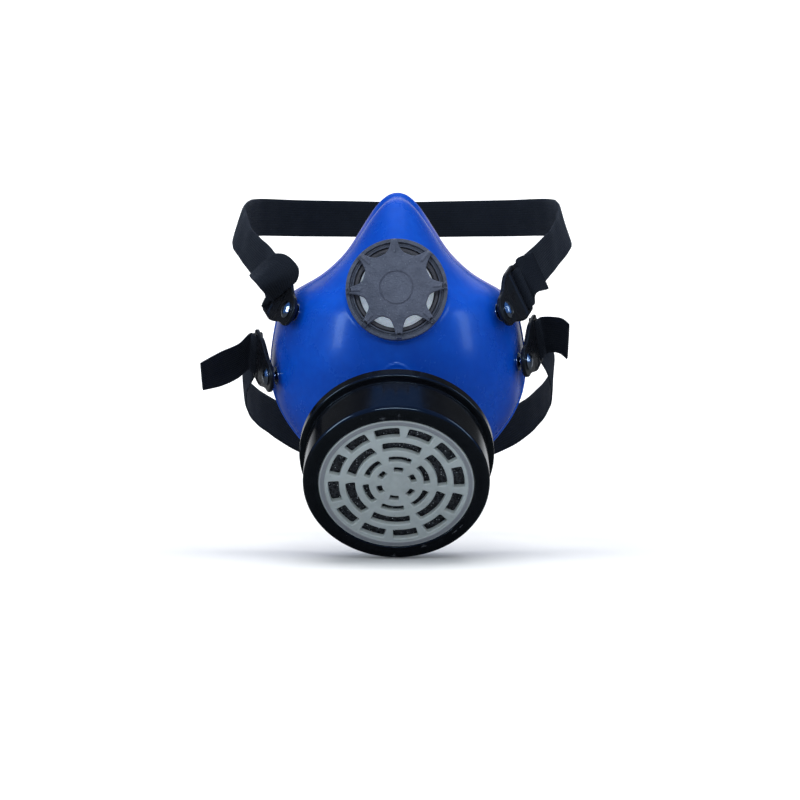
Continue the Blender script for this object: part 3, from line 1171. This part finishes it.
def webbing(name, t):
    A, B, lead = half_strap(t)
    P = np.stack([A, B], 1)
    rows, s = spline_rows(P, 0.9)
    # light smoothing of the frame along the path
    a, b = rows[:, 0], rows[:, 1]
    c = (a + b) / 2
    w = b - a
    width = np.linalg.norm(w, axis=1)
    w = w / width[:, None]
    tan = np.gradient(c, axis=0)
    tan /= np.linalg.norm(tan, axis=1)[:, None]
    w = w - tan * np.einsum("ij,ij->i", w, tan)[:, None] * 0.0
    n = np.cross(w, tan)
    n /= np.linalg.norm(n, axis=1)[:, None]
    for _ in range(2):
        n[1:-1] = n[:-2] * 0.25 + n[1:-1] * 0.5 + n[2:] * 0.25
        n /= np.linalg.norm(n, axis=1)[:, None]
    per = 6
    m = RIBS * per
    v = np.linspace(-1, 1, m + 1)
    rib = 0.10 * (np.cos(2 * pi * (v + 1) / 2 * RIBS + pi))
    ht = STRAP_T / 2 - 0.10 - 0.38 * np.abs(v) ** 14
    ht = ht + rib * (1 - np.abs(v) ** 10)
    side = np.concatenate([v, v[::-1]])
    thick = np.concatenate([ht, -ht[::-1]])
    M = len(side)
    total = s[-1]
    # soft wander of the webbing's surface and edges, faded where it passes the tab
    wander = 0.16 * np.sin(s * 2 * pi / 46.0 + len(t)) + 0.10 * np.sin(s * 2 * pi / 17.0 + 1.7)
    tab_u = np.array([STUD[t].local(cc) for cc in c])
    away = sm((np.linalg.norm(tab_u, axis=1) - 34) / 20)
    c = c + n * (wander * away)[:, None]
    cup = 0.25 * away                                   # slight cupping across the width
    hw = width / 2
    V = (c[:, None, :] + w[:, None, :] * (side[None, :, None] * hw[:, None, None])
         + n[:, None, :] * (thick[None, :, None] + (cup[:, None] * (side[None, :] ** 2 - 0.4))[:, :, None]))
    R = len(s)
    Vf = V.reshape(-1, 3)
    F = grid_polys(R, M, False, True)
    Nn = (n[:, None, :] * np.sign(thick)[None, :, None]).reshape(-1, 3)
    F = orient(Vf, F, Nn)
    uv = np.stack([np.tile(side * STRAP_W / 2, (R, 1)), np.tile(s[:, None], (1, M))], -1).reshape(-1, 2)
    cut = np.tile(sm((s - (total - 0.9)) / 0.8)[:, None], (1, M)).ravel()
    # caps at both ends on their own vertices
    polys = [F]
    extra, euv, ecut, nrm_c = [], [], [], []
    half = m + 1
    for row, sgn in ((0, -1), (R - 1, 1)):
        base = len(Vf) + len(extra)
        ring = V[row]
        for i in range(M):
            extra.append(ring[i])
            euv.append((side[i] * STRAP_W / 2, s[row] + thick[i]))
            ecut.append(1.0)
            nrm_c.append(tan[row] * sgn)
        q = []
        for i in range(half - 1):
            q.append((base + i, base + i + 1, base + M - 2 - i, base + M - 1 - i))
        polys.append(np.array(q))
    Vall = np.concatenate([Vf, np.array(extra)])
    Nall = np.concatenate([Nn, np.array(nrm_c)])
    polys = [polys[0]] + [orient(Vall, p_, Nall) for p_ in polys[1:]]
    ob = make_mesh(name, Vall, polys, mat=MAT["strap"], slot="strap_elastic",
                   attrs={"cut_end": np.concatenate([cut, np.array(ecut)])}, uv=np.concatenate([uv, np.array(euv)]))
    loop = "upper_strap" if t.startswith("upper") else "lower_strap"
    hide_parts("strap_end_" + t, loop)
    st = STUD[t]
    # bends between the head strap and the tab over the stretch just behind the tab
    start = Vector(tab_pt(t, 62, 0, 2) * MM)
    end = Vector(tab_pt(t, 34, 0, 2) * MM)
    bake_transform(ob)
    return ob


for t in TABS:
    webbing("webbing_" + t, t)

# ------------------------------------------------------------------ CAD pieces carried over: finishes only
CARRY = {
    "exhalation_valve_seat": ("seat", "seat_plastic"), "inlet_port": ("port", "port_plastic"),
    "port_lock_ring": ("port", "port_plastic"), "inhalation_flap": ("flap", "silicone_grey"),
    "canister_gasket": ("gasket", "gasket_rubber"), "rear_screen": ("screen", "screen_plastic"),
    "stud_washers": ("washer", "washer_steel"),
}
for node, (mt, sl) in CARRY.items():
    o = frame["nodes"][node]
    o.data.materials.clear()
    o.data.materials.append(MAT[mt])
    o.data.polygons.foreach_set("material_index", np.zeros(len(o.data.polygons), np.int32))
    weld = o.modifiers.new("weld", "WELD")
    weld.merge_threshold = 1e-6
    bev = o.modifiers.new("edge", "BEVEL")
    bev.width = 0.00022
    bev.segments = 2
    bev.limit_method = "ANGLE"
    bev.angle_limit = radians(40)

# ------------------------------------------------------------------ stage, light, camera
blo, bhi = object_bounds()
floor_z = blo[2] - 0.0005


def stage_material(name, a, b_, rough):
    m, t, b = nt_new(name)
    k = NB(t)
    tc = k.n("ShaderNodeTexCoord").outputs["Object"]
    c = k.mix(k.rng(k.noise(tc, 6, 4, 0.6), 0.3, 0.7, 0, 1, True), a, b_)
    # what mirrors see of the studio is dimmer away from the backdrop's middle
    sp = k.n("ShaderNodeSeparateXYZ")
    t.links.new(tc, sp.inputs[0])
    wide = k.rng(k.math("ABSOLUTE", sp.outputs[0]), 0.30, 0.75, 1, 0, True)
    deep = k.rng(sp.outputs[1], 0.35, 0.9, 0, 1, True)
    seen = k.math("ADD", 0.05, k.math("MULTIPLY", k.math("MULTIPLY", wide, deep), 0.55))
    lp = k.n("ShaderNodeLightPath").outputs["Is Glossy Ray"]
    dim = k.n("ShaderNodeMix", data_type="RGBA", blend_type="MULTIPLY")
    t.links.new(lp, dim.inputs[0])
    t.links.new(c, dim.inputs[6])
    t.links.new(seen, dim.inputs[7])
    ld = k.n("ShaderNodeLightPath").outputs["Is Diffuse Ray"]
    half = k.n("ShaderNodeMix", data_type="RGBA", blend_type="MULTIPLY")
    t.links.new(ld, half.inputs[0])
    t.links.new(dim.outputs[2], half.inputs[6])
    half.inputs[7].default_value = (0.46, 0.48, 0.50, 1)
    t.links.new(half.outputs[2], b.inputs["Base Color"])
    b.inputs["Specular IOR Level"].default_value = 0.1
    b.inputs["Roughness"].default_value = rough
    # the camera sees the far floor as pale as the backdrop
    far = k.math("SQRT", k.math("ADD", k.math("POWER", sp.outputs[0], 2), k.math("POWER", sp.outputs[1], 2)))
    lc = k.n("ShaderNodeLightPath").outputs["Is Camera Ray"]
    t.links.new(k.math("MULTIPLY", lc, k.rng(far, 0.25, 1.0, 0, 0.36, True)), b.inputs["Emission Strength"])
    b.inputs["Emission Color"].default_value = (0.97, 0.98, 1.0, 1)
    t.links.new(k.bump(k.noise(tc, 900, 2, 0.5), 0.05, 0.0002), b.inputs["Normal"])
    return m


prof = [(-2.6, 0.0), (0.55, 0.0)]
for k in range(1, 25):
    a = pi / 2 * k / 24
    prof.append((0.55 + 0.6 * sin(a), 0.6 - 0.6 * cos(a)))
prof.append((1.15, 2.6))
prof = np.array(prof)
xs = np.array([-3.0, 3.0])
SV = np.array([(x, p_[0], floor_z + p_[1]) for p_ in prof for x in xs]) / MM
SF = grid_polys(len(prof), 2)
sweep = make_mesh("studio_sweep", SV, [SF], mat=stage_material("pale_sweep", (0.86, 0.87, 0.88), (0.90, 0.90, 0.91), 0.7))


def area(name, loc, target, size, size_y, power, colour=(1, 1, 1)):
    d = bpy.data.lights.new(name, "AREA")
    d.shape = "RECTANGLE"
    d.size, d.size_y, d.energy, d.color = size, size_y, power, colour
    o = bpy.data.objects.new(name, d)
    bpy.context.scene.collection.objects.link(o)
    o.location = loc
    o.rotation_mode = "QUATERNION"
    o.rotation_quaternion = (Vector(target) - Vector(loc)).to_track_quat("-Z", "Y")
    return o


T0 = (0, -0.02, -0.01)
area("strip_left", (-0.86, -0.36, 0.36), T0, 0.20, 0.60, 1.9, (0.84, 0.94, 1.0))
area("strip_right", (0.93, -0.16, 0.36), T0, 0.20, 0.60, 1.05, (0.80, 0.92, 1.0))
area("front_high", (0.0, -1.0, 0.42), T0, 0.7, 0.08, 1.9, (0.92, 0.97, 1.0))
over = area("overhead", (0.0, -0.10, 1.10), (0, 0.0, 0), 1.2, 0.8, 7.5, (1.0, 1.0, 1.0))
over.visible_glossy = False
wash = area("back_wash", (0.0, 0.55, 1.5), (0, 1.0, 0.2), 2.2, 0.8, 14.0, (1, 1, 1))
wash.visible_glossy = False

world = bpy.data.worlds.new("studio")
bpy.context.scene.world = world
world.use_nodes = True
wt = world.node_tree
bg = wt.nodes["Background"]
bg.inputs[0].default_value = (0.95, 0.97, 1.0, 1)
bg.inputs[1].default_value = 0.60
dark = wt.nodes.new("ShaderNodeBackground")
dark.inputs[0].default_value = (0.07, 0.19, 0.50, 1)
dark.inputs[1].default_value = 0.60
mixw = wt.nodes.new("ShaderNodeMixShader")
lpw = wt.nodes.new("ShaderNodeLightPath")
wt.links.new(lpw.outputs["Is Glossy Ray"], mixw.inputs[0])
wt.links.new(bg.outputs[0], mixw.inputs[1])
wt.links.new(dark.outputs[0], mixw.inputs[2])
pale = wt.nodes.new("ShaderNodeBackground")
pale.inputs[0].default_value = (0.90, 0.91, 0.925, 1)
pale.inputs[1].default_value = 1.0
mixc = wt.nodes.new("ShaderNodeMixShader")
wt.links.new(lpw.outputs["Is Camera Ray"], mixc.inputs[0])
wt.links.new(mixw.outputs[0], mixc.inputs[1])
wt.links.new(pale.outputs[0], mixc.inputs[2])
wt.links.new(mixc.outputs[0], wt.nodes["World Output"].inputs[0])

bpy.context.scene.view_settings.view_transform = "Standard"

cam_d = bpy.data.cameras.new("camera")
cam = bpy.data.objects.new("camera", cam_d)
bpy.context.scene.collection.objects.link(cam)
cam_d.sensor_width = 36.0
cam_d.lens = 36.0 * 2083.0 / 800.0
cam_d.clip_start, cam_d.clip_end = 0.02, 20
cam.location = (0.008, -1.0, -0.037)
cam_d.shift_x = -0.018
cam.rotation_euler = (radians(90), 0, 0)
bpy.context.scene.camera = cam
